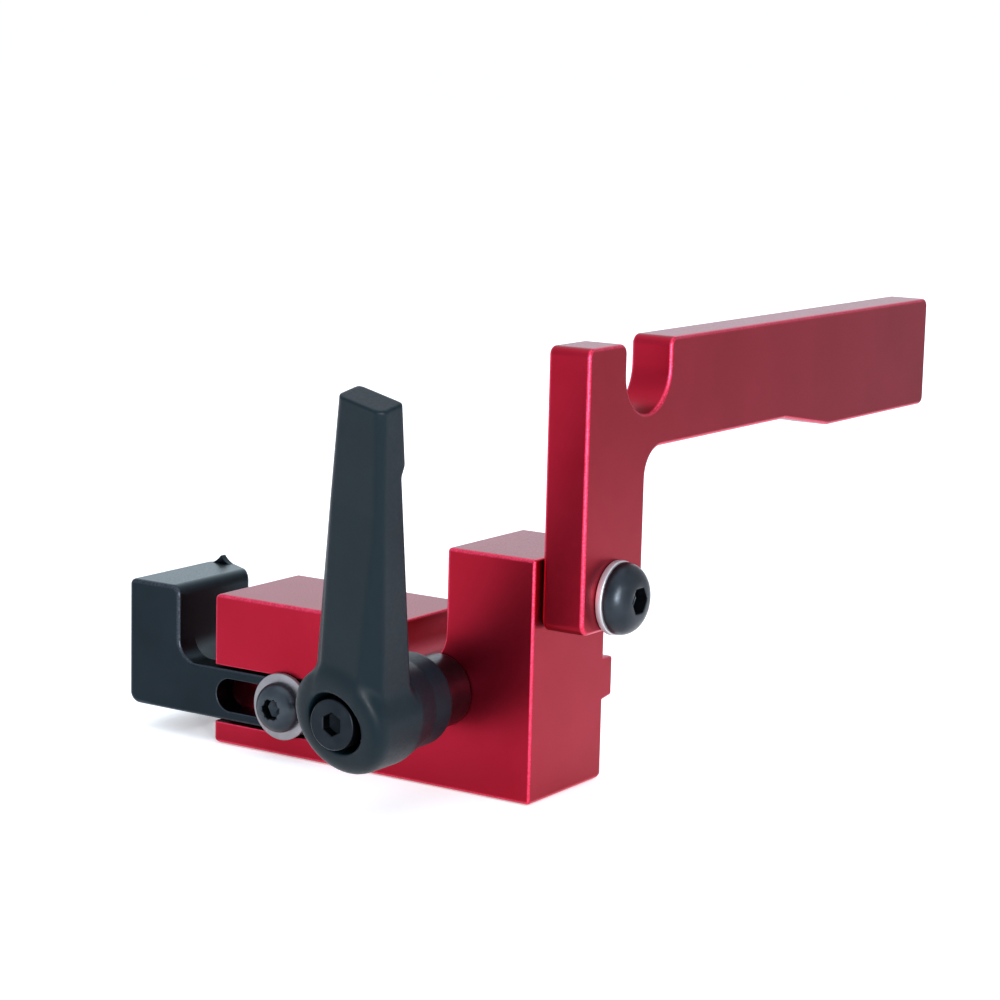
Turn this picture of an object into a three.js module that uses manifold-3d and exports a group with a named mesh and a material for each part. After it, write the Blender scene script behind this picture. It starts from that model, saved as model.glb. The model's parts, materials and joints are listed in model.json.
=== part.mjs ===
// Flip stop for a fence with a T-slot, in millimetres.
// The origin is the centre of the block's bottom face, with +X along the fence towards
// the flip arm, +Y into the fence and +Z up.
// The driving dimensions are measured from the clamp stud's axis, at the block's back face,
// and the last lines move the whole assembly onto its origin.
import * as THREE from 'three';
import { mergeVertices } from 'three/addons/utils/BufferGeometryUtils.js';
import Module from 'manifold-3d';

const wasm = await Module();
wasm.setup();

// ---- driving dimensions -------------------------------------------------------------

const RUNNING_GAP = 0.05;       // between faces that touch or rub
const HOLE_GAP = 0.3;           // radial, round a thread or shank
const PAST = 1;                 // how far a cutting solid runs past the face that it cuts
const NEARLY = 0.998;           // keeps the two arcs of a round end from touching

const BLOCK = {
  left: -58.5, right: 21.5, front: -27.5, back: 0, bottom: -20.4,
  lowTop: 11.9, tallLeft: 0.8, tallTop: 29.1,
  notchLeft: -11.7, notchBottom: 5.1,
  edge: 0.8, lowTopEdge: 1.5, lowBottomEdge: 1.2, notchEdge: 0.5, backBottomEdge: 2,
};
const RIB = { rise: 3.4, centreZ: 0.5, rootHalf: 4.6, tipHalf: 4.1, edge: 0.6 };
const GROOVE = { right: -14.5, centreZ: -9.6, half: 6.15, depth: 5.5 };
const PIVOT = { y: -13.75, z: 20.9, threadDepth: 18.9 };
const ARM = {
  thickness: 9.5, legFront: -25.5, legBack: -3, bottom: 14.6, top: 71,
  notchY: -2.7, notchRadius: 8.6, notchBottom: 56.4,
  underside: 49.3, stepStart: 57, stepEnd: 78, tailUnderside: 45.8, end: 128.2,
  footEdge: 2.5, topEdge: 1.8, notchEdge: 2, stepEdge: 1.5, innerFillet: 6,
};
const HOOK = {
  postLeft: -82.1, postRight: -68, postTop: 12.2, bottom: -15.2, plateTop: -4,
  postBack: 0, plateEnd: -20.2, plateRise: 0.2, slotLeft: -57.7, slotRight: -24.4,
  slotHalf: 3.5, screwX: -39.6, screwHoleDepth: 10.2,
  footEdge: 2.4, topEdge: 1, innerFillet: 4.5, edge: 0.8, backEdge: 1.2,
  innerBackCut: 3.8, outerBackCut: 2,
};
const POINTER = { fromLeft: 4.4, half: 2.8, rise: 1.8, bend: 1.2, bendRise: 0.35, from: -1.9, to: -0.4 };
const M8_BUTTON = { shank: 4, head: 7.25, height: 4.4, socket: 5, socketDepth: 2.6, length: 30 };
const M6_BUTTON = { shank: 3, head: 5.3, height: 3.3, socket: 4, socketDepth: 2, length: 16 };
const PIVOT_WASHER = { inner: 4.3, outer: 7.5, thickness: 1.4 };
const FRICTION_WASHER = { inner: 4.3, outer: 6.2, thickness: 0.4 };
const HOOK_WASHER = { inner: 3.3, outer: 7.1, thickness: 1.1 };

// Distances along the clamp's axis are measured outwards from the block's front face.
const HUB = {
  rear: 9.3, front: 35.8, frontSlope: 0.3, rearRadius: 9.5, shoulderRear: 15.5, shoulderFront: 22,
  widest: 32.6, widestRadius: 11, noseRise: 1.6, noseStep: 0.35, faceRadius: 8.5, faceEdge: 0.4,
  rearEdge: 0.6,
  recessRadius: 6.25, webRear: 21, webFront: 23.4, webBore: 3.3,
};
const LEVER = {
  turn: 14, tipFront: 66.1, tipBack: 67.5,
  rootHalf: 8.5, halfSlope: -0.048, rootFront: 33, frontSlope: 0.28, rootBack: 21, backSlope: 0.37,
  padStart: 52.6, padFull: 55.6, padDepth: 1.2,
  backChamfer: 0.6, tipChamfer: 1.2, rootChamfer: 4.2, rootChamferDepth: 4.2, chamferEnd: 45,
  rootRise: 2.6,
};
const SPLINE = {
  teeth: 20, tip: 6.1, root: 5.35, rootShare: 0.36, tipShare: 0.12,
  from: 16.4, to: 20.1, clearance: 0.35, cavityFrom: 17.2, neckStep: 0.2,
};
const COLLAR = { radius: 7.5, length: 9.1, edge: 0.5 };
const CAP_SCREW = {
  shank: 2.5, head: 5.05, front: 36.7, height: 3.9, socket: 4, socketDepth: 2.2, tip: 12.4, edge: 0.4,
};
const SPRING = { radius: 4.1, wire: 0.45, turns: 5, from: 24, to: 32.2 };
const STUD = { radius: 3, inInsert: 8, end: 13.2 };
const T_NUT = {
  length: 26, half: 8.2, neckHalf: 4.1, front: 5, shoulder: 6.5, back: 11.5, backChamfer: 1.6, edge: 0.6,
};

const ROUND = 32;               // sides of a turned piece
const BORE_SIDES = 24;          // sides of the stud and its thread in the nut
const ARC_STEPS = 8;            // steps in each arc of an outline

// ---- materials ----------------------------------------------------------------------

const finish = (color, roughness, metalness) => () =>
  new THREE.MeshStandardMaterial({ color, roughness, metalness });

const redAnodised = finish(0xa01c34, 0.38, 0.75);
const blackAnodised = finish(0x262b31, 0.45, 0.5);
const blackCoated = finish(0x2c363f, 0.5, 0.2);
const blackOxide = finish(0x2b3139, 0.4, 0.8);
const brightSteel = finish(0x9a9ea2, 0.32, 0.9);
const springSteel = finish(0x7d8084, 0.35, 0.9);
const paleNylon = finish(0xd8d4cc, 0.6, 0);

// ---- solids -------------------------------------------------------------------------

function solidOf(geometry) {
  const bare = geometry.index ? geometry.toNonIndexed() : geometry.clone();
  for (const name of Object.keys(bare.attributes)) {
    if (name !== 'position') {
      bare.deleteAttribute(name);
    }
  }
  const merged = mergeVertices(bare, 1e-4);
  const corners = [];
  const index = merged.index.array;
  for (let i = 0; i < index.length; i += 3) {
    const [a, b, c] = [index[i], index[i + 1], index[i + 2]];
    if (a !== b && b !== c && c !== a) {
      corners.push(a, b, c);
    }
  }
  const places = merged.attributes.position.array;
  if (signedVolume(places, corners) < 0) {
    corners.reverse();
  }
  return new wasm.Manifold(new wasm.Mesh({
    numProp: 3,
    vertProperties: new Float32Array(places),
    triVerts: new Uint32Array(corners),
  }));
}

function signedVolume(places, corners) {
  const point = (i) => new THREE.Vector3().fromArray(places, 3 * i);
  let volume = 0;
  for (let i = 0; i < corners.length; i += 3) {
    volume += point(corners[i]).dot(point(corners[i + 1]).cross(point(corners[i + 2])));
  }
  return volume;
}

function geometryOf(solid) {
  const { vertProperties, triVerts } = solid.getMesh();
  const geometry = new THREE.BufferGeometry();
  geometry.setAttribute('position', new THREE.BufferAttribute(new Float32Array(vertProperties), 3));
  geometry.setIndex(Array.from(triVerts));
  geometry.computeVertexNormals();
  return geometry;
}

// An outline from [x, y, corner radius] points, with each radius drawn as an arc.
function roundedShape(corners) {
  const shape = new THREE.Shape();
  corners.forEach(([x, y, radius = 0], i) => {
    const here = new THREE.Vector2(x, y);
    if (!radius) {
      i ? shape.lineTo(x, y) : shape.moveTo(x, y);
      return;
    }
    const before = corners.at(i - 1);
    const after = corners[(i + 1) % corners.length];
    const toBefore = new THREE.Vector2(before[0], before[1]).sub(here).normalize();
    const toAfter = new THREE.Vector2(after[0], after[1]).sub(here).normalize();
    const halfAngle = Math.acos(toBefore.dot(toAfter)) / 2;
    const reach = radius / Math.tan(halfAngle);
    const start = here.clone().addScaledVector(toBefore, reach);
    const stop = here.clone().addScaledVector(toAfter, reach);
    const inward = toBefore.clone().add(toAfter).normalize();
    const centre = here.clone().addScaledVector(inward, radius / Math.sin(halfAngle));
    const clockwise = toBefore.cross(toAfter) > 0;
    i ? shape.lineTo(start.x, start.y) : shape.moveTo(start.x, start.y);
    shape.absarc(
      centre.x, centre.y, radius,
      Math.atan2(start.y - centre.y, start.x - centre.x),
      Math.atan2(stop.y - centre.y, stop.x - centre.x),
      clockwise,
    );
  });
  return shape;
}

function extrude(shape, depth) {
  return new THREE.ExtrudeGeometry(shape, { depth, bevelEnabled: false, curveSegments: ARC_STEPS });
}

// A shape drawn in (Y, Z), swept from x = from to x = to.
function prismAlongX(shape, from, to) {
  const turn = new THREE.Matrix4().makeBasis(
    new THREE.Vector3(0, 1, 0), new THREE.Vector3(0, 0, 1), new THREE.Vector3(1, 0, 0),
  );
  return solidOf(extrude(shape, to - from).applyMatrix4(turn).translate(from, 0, 0));
}

// A shape drawn in (X, Z), swept from y = from to y = to.
function prismAlongY(shape, from, to) {
  return solidOf(extrude(shape, to - from).rotateX(Math.PI / 2).translate(0, to, 0));
}

// A shape drawn in (X, Y), swept from z = from to z = to.
function prismAlongZ(shape, from, to) {
  return solidOf(extrude(shape, to - from).translate(0, 0, from));
}

// A profile of [radius, height] points turned about the Y axis.
function turned(profile, sides = ROUND) {
  const points = profile.map(([radius, height]) => new THREE.Vector2(radius, height));
  return solidOf(new THREE.LatheGeometry(points, sides));
}

function rod(radius, from, to, sides = ROUND) {
  return turned([[0, from], [radius, from], [radius, to], [0, to]], sides);
}

function moved(solid, x, y, z) {
  return solidOf(geometryOf(solid).translate(x, y, z));
}

// The same rod laid along X, with its axis through (y, z).
function rodAlongX(radius, from, to, y, z) {
  return solidOf(geometryOf(rod(radius, from, to)).rotateZ(-Math.PI / 2).translate(0, y, z));
}

function hexSocket(acrossFlats, from, to) {
  return rod(acrossFlats / Math.sqrt(3), from, to, 6);
}

function meshOf(name, solid, material) {
  const geometry = solid instanceof THREE.BufferGeometry ? solid : geometryOf(solid);
  const mesh = new THREE.Mesh(geometry, material());
  mesh.name = name;
  return mesh;
}

// ---- main block ---------------------------------------------------------------------

function mainBlock() {
  const notchRadius = (BLOCK.tallLeft - BLOCK.notchLeft) / 2;
  const front = roundedShape([
    [BLOCK.left, BLOCK.bottom, BLOCK.lowBottomEdge],
    [BLOCK.right, BLOCK.bottom, BLOCK.edge],
    [BLOCK.right, BLOCK.tallTop, BLOCK.edge],
    [BLOCK.tallLeft, BLOCK.tallTop, BLOCK.edge],
    [BLOCK.tallLeft, BLOCK.notchBottom, notchRadius * NEARLY],
    [BLOCK.notchLeft, BLOCK.notchBottom, notchRadius * NEARLY],
    [BLOCK.notchLeft, BLOCK.lowTop, BLOCK.notchEdge],
    [BLOCK.left, BLOCK.lowTop, BLOCK.lowTopEdge],
  ]);
  const side = roundedShape([
    [BLOCK.front, BLOCK.bottom, BLOCK.edge],
    [BLOCK.back, BLOCK.bottom, BLOCK.backBottomEdge],
    [BLOCK.back, RIB.centreZ - RIB.rootHalf],
    [RIB.rise, RIB.centreZ - RIB.tipHalf, RIB.edge],
    [RIB.rise, RIB.centreZ + RIB.tipHalf, RIB.edge],
    [BLOCK.back, RIB.centreZ + RIB.rootHalf],
    [BLOCK.back, BLOCK.tallTop, BLOCK.edge],
    [BLOCK.front, BLOCK.tallTop, BLOCK.edge],
  ]);
  const body = prismAlongY(front, BLOCK.front, RIB.rise)
    .intersect(prismAlongX(side, BLOCK.left, BLOCK.right));
  const groove = roundedShape([
    [BLOCK.left - PAST, GROOVE.centreZ - GROOVE.half],
    [GROOVE.right, GROOVE.centreZ - GROOVE.half, GROOVE.half * NEARLY],
    [GROOVE.right, GROOVE.centreZ + GROOVE.half, GROOVE.half * NEARLY],
    [BLOCK.left - PAST, GROOVE.centreZ + GROOVE.half],
  ]);
  const grooveFloor = BLOCK.front + GROOVE.depth;
  const hookHole = moved(
    rod(M6_BUTTON.shank + HOLE_GAP, grooveFloor - PAST, grooveFloor + HOOK.screwHoleDepth),
    HOOK.screwX, 0, GROOVE.centreZ,
  );
  return body
    .subtract(prismAlongY(groove, BLOCK.front - PAST, grooveFloor))
    .subtract(rod(STUD.radius + HOLE_GAP, BLOCK.front - PAST, RIB.rise + PAST))
    .subtract(hookHole)
    .subtract(rodAlongX(
      M8_BUTTON.shank + HOLE_GAP, BLOCK.right - PIVOT.threadDepth, BLOCK.right + PAST,
      PIVOT.y, PIVOT.z,
    ));
}

// ---- flip arm -----------------------------------------------------------------------

// Distances along the pivot are measured outwards from the block's right face.
const armInner = FRICTION_WASHER.thickness + 2 * RUNNING_GAP;
const armOuter = armInner + ARM.thickness;
const pivotWasherInner = armOuter + RUNNING_GAP;
const pivotHeadInner = pivotWasherInner + PIVOT_WASHER.thickness + RUNNING_GAP;

function flipArm() {
  const notchFront = ARM.notchY - ARM.notchRadius;
  const notchBack = ARM.notchY + ARM.notchRadius;
  const outline = roundedShape([
    [ARM.legFront, ARM.bottom, ARM.footEdge],
    [ARM.legBack, ARM.bottom, ARM.footEdge],
    [ARM.legBack, ARM.underside, ARM.innerFillet],
    [ARM.stepStart, ARM.underside, ARM.stepEdge],
    [ARM.stepEnd, ARM.tailUnderside, ARM.stepEdge],
    [ARM.end, ARM.tailUnderside, ARM.topEdge],
    [ARM.end, ARM.top, ARM.topEdge],
    [notchBack, ARM.top, ARM.notchEdge],
    [notchBack, ARM.notchBottom, ARM.notchRadius * NEARLY],
    [notchFront, ARM.notchBottom, ARM.notchRadius * NEARLY],
    [notchFront, ARM.top, ARM.notchEdge],
    [ARM.legFront, ARM.top, ARM.topEdge],
  ]);
  const from = BLOCK.right + armInner;
  const to = BLOCK.right + armOuter;
  return prismAlongX(outline, from, to)
    .subtract(rodAlongX(M8_BUTTON.shank + HOLE_GAP, from - PAST, to + PAST, PIVOT.y, PIVOT.z));
}

// ---- sliding hook -------------------------------------------------------------------

function stopHook() {
  const centreZ = (HOOK.bottom + HOOK.plateTop) / 2;
  const plateRound = (HOOK.plateTop - HOOK.bottom) / 2 * NEARLY;
  const slotRound = HOOK.slotHalf * NEARLY;
  const face = BLOCK.front - HOOK.plateRise;
  const plateBack = BLOCK.front + GROOVE.depth - 2 * RUNNING_GAP;
  const frontOutline = roundedShape([
    [HOOK.postLeft, HOOK.bottom, HOOK.footEdge],
    [HOOK.plateEnd, HOOK.bottom, plateRound],
    [HOOK.plateEnd, HOOK.plateTop, plateRound],
    [HOOK.postRight, HOOK.plateTop, HOOK.innerFillet],
    [HOOK.postRight, HOOK.postTop, HOOK.edge],
    [HOOK.postLeft, HOOK.postTop, HOOK.topEdge],
  ]);
  const topOutline = roundedShape([
    [HOOK.postLeft, face, HOOK.edge],
    [HOOK.plateEnd, face],
    [HOOK.plateEnd, plateBack],
    [HOOK.postRight, plateBack, 2 * HOOK.edge],
    [HOOK.postRight, HOOK.postBack - HOOK.innerBackCut, HOOK.backEdge],
    [HOOK.postLeft + POINTER.fromLeft + POINTER.half, HOOK.postBack, HOOK.backEdge],
    [HOOK.postLeft + HOOK.outerBackCut, HOOK.postBack, HOOK.edge],
    [HOOK.postLeft, HOOK.postBack - HOOK.outerBackCut, HOOK.edge],
  ]);
  const slot = roundedShape([
    [HOOK.slotLeft, centreZ - HOOK.slotHalf, slotRound],
    [HOOK.slotRight, centreZ - HOOK.slotHalf, slotRound],
    [HOOK.slotRight, centreZ + HOOK.slotHalf, slotRound],
    [HOOK.slotLeft, centreZ + HOOK.slotHalf, slotRound],
  ]);
  return prismAlongY(frontOutline, face, HOOK.postBack)
    .intersect(prismAlongZ(topOutline, HOOK.bottom, HOOK.postTop))
    .subtract(prismAlongY(slot, face - PAST, plateBack + PAST))
    .add(pointer());
}

// The small pointed tooth on the rear of the post's top, with hollow flanks.
function pointer() {
  const middle = HOOK.postLeft + POINTER.fromLeft;
  const left = middle - POINTER.half;
  const right = middle + POINTER.half;
  const sink = 0.1;
  const bendTop = HOOK.postTop + POINTER.bendRise;
  const tooth = new THREE.Shape();
  tooth.moveTo(left, HOOK.postTop - PAST);
  tooth.lineTo(right, HOOK.postTop - PAST);
  tooth.lineTo(right, HOOK.postTop - sink);
  tooth.quadraticCurveTo(middle + POINTER.bend, bendTop, middle, HOOK.postTop + POINTER.rise);
  tooth.quadraticCurveTo(middle - POINTER.bend, bendTop, left, HOOK.postTop - sink);
  return prismAlongY(tooth, HOOK.postBack + POINTER.from, HOOK.postBack + POINTER.to);
}

// ---- screws and washers, turned about their own Y axis --------------------------------

// The underside of the head is at y = 0 and the shank runs to y = -length.
function buttonScrew({ shank, head, height, socket, socketDepth, length }) {
  const crownShare = 0.42;
  const crown = crownShare * head;
  const rim = 0.5;
  const pointChamfer = 0.8;
  const domeSteps = 6;
  const dome = [];
  for (let step = 0; step <= domeSteps; step += 1) {
    const turn = (step / domeSteps) * (Math.PI / 2);
    dome.push([crown + (head - crown) * Math.cos(turn), rim + (height - rim) * Math.sin(turn)]);
  }
  const profile = [
    [0, -length], [shank - pointChamfer, -length], [shank, -length + pointChamfer], [shank, 0],
    [head - rim / 2, 0], ...dome, [0, height],
  ];
  return turned(profile).subtract(hexSocket(socket, height - socketDepth, height + PAST));
}

function washer({ inner, outer, thickness }) {
  return turned([[inner, 0], [outer, 0], [outer, thickness], [inner, thickness], [inner, 0]]);
}

// ---- clamping lever, turned about its own Y axis, which points out of the front face ---

function gearOutline(tip, root) {
  const shape = new THREE.Shape();
  const pitch = (2 * Math.PI) / SPLINE.teeth;
  for (let tooth = 0; tooth < SPLINE.teeth; tooth += 1) {
    const { rootShare, tipShare } = SPLINE;
    const corners = [[root, -rootShare], [tip, -tipShare], [tip, tipShare], [root, rootShare]];
    corners.forEach(([radius, share], corner) => {
      const angle = (tooth + share) * pitch;
      const x = radius * Math.cos(angle);
      const y = radius * Math.sin(angle);
      tooth || corner ? shape.lineTo(x, y) : shape.moveTo(x, y);
    });
  }
  return shape;
}

// The section of the lever's arm at a distance from the axis. Towards the hub its front rises
// and its front chamfers widen and deepen.
function armSection(distance) {
  const { clamp } = THREE.MathUtils;
  const pad = clamp((distance - LEVER.padStart) / (LEVER.padFull - LEVER.padStart), 0, 1);
  const near = clamp(1 - distance / LEVER.chamferEnd, 0, 1);
  return {
    halfWidth: LEVER.rootHalf + LEVER.halfSlope * distance,
    front: LEVER.rootFront + LEVER.frontSlope * distance + LEVER.rootRise * near,
    back: LEVER.rootBack + LEVER.backSlope * distance - LEVER.padDepth * pad,
    chamfer: LEVER.tipChamfer + (LEVER.rootChamfer - LEVER.tipChamfer) * near,
    depth: LEVER.tipChamfer + (LEVER.rootChamferDepth - LEVER.tipChamfer) * near,
  };
}

function leverArm() {
  const stations = [
    0, LEVER.chamferEnd / 3, LEVER.chamferEnd, LEVER.padStart, LEVER.padFull, LEVER.tipBack,
  ];
  const rings = stations.map((distance) => {
    const { halfWidth, front, back, chamfer, depth } = armSection(distance);
    const frontDistance = distance === LEVER.tipBack ? LEVER.tipFront : distance;
    const rear = LEVER.backChamfer;
    return [
      [-halfWidth + chamfer, front, frontDistance], [halfWidth - chamfer, front, frontDistance],
      [halfWidth, front - depth, frontDistance], [halfWidth, back + rear, distance],
      [halfWidth - rear, back, distance], [-halfWidth + rear, back, distance],
      [-halfWidth, back + rear, distance], [-halfWidth, front - depth, frontDistance],
    ];
  });
  const sides = rings[0].length;
  const index = [];
  for (let ring = 0; ring + 1 < rings.length; ring += 1) {
    for (let side = 0; side < sides; side += 1) {
      const next = (side + 1) % sides;
      const [a, b] = [ring * sides + side, ring * sides + next];
      index.push(a, b, b + sides, a, b + sides, a + sides);
    }
  }
  const end = (rings.length - 1) * sides;
  for (let side = 1; side + 1 < sides; side += 1) {
    index.push(0, side + 1, side);
    index.push(end, end + side, end + side + 1);
  }
  const geometry = new THREE.BufferGeometry();
  geometry.setAttribute('position', new THREE.Float32BufferAttribute(rings.flat(2), 3));
  geometry.setIndex(index);
  return solidOf(geometry);
}

// The hub's nose leans with the front of the arm: it stands further out towards the arm's side.
function leaning(solid) {
  const geometry = geometryOf(solid);
  const places = geometry.attributes.position;
  for (let i = 0; i < places.count; i += 1) {
    if (places.getY(i) > HUB.widest - RUNNING_GAP) {
      places.setY(i, places.getY(i) + HUB.frontSlope * places.getZ(i));
    }
  }
  return solidOf(geometry);
}

function leverHandle() {
  const { rearRadius, rearEdge, widestRadius, faceRadius } = HUB;
  const hub = turned([
    [0, HUB.rear], [rearRadius - rearEdge, HUB.rear], [rearRadius, HUB.rear + rearEdge],
    [rearRadius, HUB.shoulderRear], [widestRadius, HUB.shoulderFront],
    [widestRadius, HUB.widest], [widestRadius - HUB.noseStep, HUB.widest + HUB.noseRise],
    [faceRadius + rearEdge, HUB.front - HUB.faceEdge], [faceRadius - rearEdge, HUB.front],
    [0, HUB.front],
  ]);
  const tipRadius = SPLINE.tip + SPLINE.clearance;
  const rootRadius = SPLINE.root + SPLINE.clearance;
  const cavity = SPLINE.cavityFrom;
  const splined = prismAlongY(gearOutline(tipRadius, rootRadius), cavity - PAST, HUB.webRear);
  const casting = geometryOf(leaning(hub).add(leverArm()));
  return solidOf(casting.rotateY(-THREE.MathUtils.degToRad(LEVER.turn)))
    .subtract(splined)
    .subtract(rod(tipRadius + HOLE_GAP, HUB.rear - PAST, cavity))
    .subtract(rod(HUB.webBore, HUB.webRear - PAST, HUB.webFront + PAST))
    .subtract(rod(HUB.recessRadius, HUB.webFront, HUB.front + 4 * PAST));
}

function leverInsert() {
  const { radius, length, edge } = COLLAR;
  const neck = SPLINE.root - SPLINE.neckStep;
  const neckEnd = SPLINE.from + PAST;
  const collar = turned([
    [0, RUNNING_GAP], [radius - edge, RUNNING_GAP], [radius, RUNNING_GAP + edge],
    [radius, length - edge], [radius - edge, length], [neck, length], [neck, neckEnd], [0, neckEnd],
  ]);
  return collar
    .add(prismAlongY(gearOutline(SPLINE.tip, SPLINE.root), SPLINE.from, SPLINE.to))
    .subtract(rod(STUD.radius + HOLE_GAP, -PAST, STUD.inInsert + HOLE_GAP))
    .subtract(rod(CAP_SCREW.shank + HOLE_GAP, CAP_SCREW.tip - 2 * HOLE_GAP, SPLINE.to + PAST));
}

function capScrew() {
  const { shank, head, front, height, tip, edge } = CAP_SCREW;
  const under = front - height;
  return turned([
    [0, tip], [shank - edge, tip], [shank, tip + edge], [shank, under], [head, under],
    [head, front - edge], [head - edge, front], [0, front],
  ]).subtract(hexSocket(CAP_SCREW.socket, front - CAP_SCREW.socketDepth, front + PAST));
}

class Helix extends THREE.Curve {
  getPoint(share) {
    const angle = share * SPRING.turns * 2 * Math.PI;
    const height = SPRING.from + SPRING.wire + share * (SPRING.to - SPRING.from - 2 * SPRING.wire);
    return new THREE.Vector3(
      SPRING.radius * Math.cos(angle), height, SPRING.radius * Math.sin(angle),
    );
  }
}

function leverSpring() {
  const wire = new THREE.Shape();
  const wireSides = 6;
  const stepsPerTurn = 16;
  for (let side = 0; side < wireSides; side += 1) {
    const angle = (side / wireSides) * 2 * Math.PI;
    const x = SPRING.wire * Math.cos(angle);
    const y = SPRING.wire * Math.sin(angle);
    side ? wire.lineTo(x, y) : wire.moveTo(x, y);
  }
  return solidOf(new THREE.ExtrudeGeometry(wire, {
    steps: SPRING.turns * stepsPerTurn, extrudePath: new Helix(), bevelEnabled: false,
  }));
}

function clampStud() {
  const outer = BLOCK.front - BLOCK.back - STUD.end;
  const chamfer = 0.7;
  return turned([
    [0, outer], [STUD.radius - chamfer, outer], [STUD.radius, outer + chamfer],
    [STUD.radius, STUD.inInsert], [0, STUD.inInsert],
  ], BORE_SIDES);
}

function tNut() {
  const { length, half, neckHalf, front, shoulder, back, backChamfer, edge } = T_NUT;
  const section = roundedShape([
    [front, -neckHalf, edge], [front, neckHalf, edge], [shoulder, neckHalf], [shoulder, half, edge],
    [back - backChamfer, half, edge], [back, half - backChamfer, edge],
    [back, backChamfer - half, edge], [back - backChamfer, -half, edge],
    [shoulder, -half, edge], [shoulder, -neckHalf],
  ]);
  return prismAlongX(section, -length / 2, length / 2)
    .subtract(rod(STUD.radius + HOLE_GAP, front - PAST, back + PAST, BORE_SIDES));
}

// ---- assembly -------------------------------------------------------------------------

const assembly = new THREE.Group();
assembly.add(meshOf('main_block', mainBlock(), redAnodised));
assembly.add(meshOf('flip_arm', flipArm(), redAnodised));
assembly.add(meshOf('stop_hook', stopHook(), blackAnodised));
assembly.add(meshOf('t_nut', tNut(), brightSteel));

// The hook's screw and washer look out of the front face.
const hookFastening = new THREE.Group();
const hookFace = BLOCK.front - HOOK.plateRise;
hookFastening.position.set(HOOK.screwX, hookFace, GROOVE.centreZ);
hookFastening.rotation.z = Math.PI;
const hookWasher = meshOf('hook_washer', washer(HOOK_WASHER), brightSteel);
hookWasher.position.y = RUNNING_GAP;
const hookScrew = meshOf('hook_screw', buttonScrew(M6_BUTTON), blackOxide);
hookScrew.position.y = HOOK_WASHER.thickness + 2 * RUNNING_GAP;
hookFastening.add(hookWasher, hookScrew);
assembly.add(hookFastening);

// The pivot's pieces look out of the right face.
const pivot = new THREE.Group();
pivot.position.set(BLOCK.right, PIVOT.y, PIVOT.z);
pivot.rotation.z = -Math.PI / 2;
const frictionWasher = meshOf('pivot_friction_washer', washer(FRICTION_WASHER), paleNylon);
frictionWasher.position.y = RUNNING_GAP;
const pivotWasher = meshOf('pivot_washer', washer(PIVOT_WASHER), brightSteel);
pivotWasher.position.y = pivotWasherInner;
const pivotScrew = meshOf('pivot_screw', buttonScrew(M8_BUTTON), blackOxide);
pivotScrew.position.y = pivotHeadInner;
pivot.add(frictionWasher, pivotWasher, pivotScrew);
assembly.add(pivot);

// The clamp's pieces look out of the front face on the stud's axis.
const clamp = new THREE.Group();
clamp.position.set(0, BLOCK.front, 0);
clamp.rotation.z = Math.PI;
clamp.add(meshOf('lever_handle', leverHandle(), blackCoated));
clamp.add(meshOf('lever_insert', leverInsert(), blackOxide));
clamp.add(meshOf('lever_screw', capScrew(), blackOxide));
clamp.add(meshOf('lever_spring', leverSpring(), springSteel));
clamp.add(meshOf('clamp_stud', clampStud(), brightSteel));
assembly.add(clamp);

// The origin moves from the stud's axis to the centre of the bottom face.
assembly.position.set(
  -(BLOCK.left + BLOCK.right) / 2, -(BLOCK.front + BLOCK.back) / 2, -BLOCK.bottom,
);
const group = new THREE.Group();
group.add(assembly);

export default group;
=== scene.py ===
import itertools
import json
import math
from types import SimpleNamespace as Sizes

import bmesh
import bpy
import numpy as np
from mathutils import Matrix, Vector

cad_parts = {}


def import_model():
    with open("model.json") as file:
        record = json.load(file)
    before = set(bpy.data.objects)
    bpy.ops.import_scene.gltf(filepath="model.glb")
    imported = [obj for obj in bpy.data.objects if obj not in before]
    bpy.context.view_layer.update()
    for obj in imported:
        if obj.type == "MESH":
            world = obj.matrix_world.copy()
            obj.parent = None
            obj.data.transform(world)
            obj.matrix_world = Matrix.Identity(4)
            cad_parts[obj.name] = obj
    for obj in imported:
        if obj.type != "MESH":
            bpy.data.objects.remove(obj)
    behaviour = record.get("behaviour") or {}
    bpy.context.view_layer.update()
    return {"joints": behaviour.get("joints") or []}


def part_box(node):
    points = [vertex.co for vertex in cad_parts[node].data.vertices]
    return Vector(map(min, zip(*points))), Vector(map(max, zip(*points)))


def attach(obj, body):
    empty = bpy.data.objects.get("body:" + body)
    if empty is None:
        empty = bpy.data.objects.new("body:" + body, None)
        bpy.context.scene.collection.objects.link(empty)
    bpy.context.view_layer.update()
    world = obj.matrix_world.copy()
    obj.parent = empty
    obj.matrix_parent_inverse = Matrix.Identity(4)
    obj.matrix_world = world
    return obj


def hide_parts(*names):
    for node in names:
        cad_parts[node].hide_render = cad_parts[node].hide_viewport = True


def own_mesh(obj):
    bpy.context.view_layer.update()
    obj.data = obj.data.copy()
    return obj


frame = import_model()

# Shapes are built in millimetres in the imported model's frame, then scaled to metres.
MM = 0.001
ARC_STEP = math.radians(6)
QUARTER = math.pi / 2
SAME = 1e-4
PAST = 2.0              # how far a cutting solid runs past the face it cuts
OVERLAP = 0.2           # how far a shank runs into its head
HOLE_GAP = 0.3          # radial, round a shank
HOLE_SIDES = 48
HEXAGON = 6
HOLE_MARGIN = 0.3       # how far from a hole's surface one of its edges is still looked for
EDGE_BAND = 1.0         # an edge whose middle is this near to a face belongs to it
ALONG = 0.9             # least share of its direction for an edge that runs along an axis
M5 = Sizes(radius=2.5, pitch=0.8)
M6 = Sizes(radius=3.0, pitch=1.0)
M8 = Sizes(radius=4.0, pitch=1.25)

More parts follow.
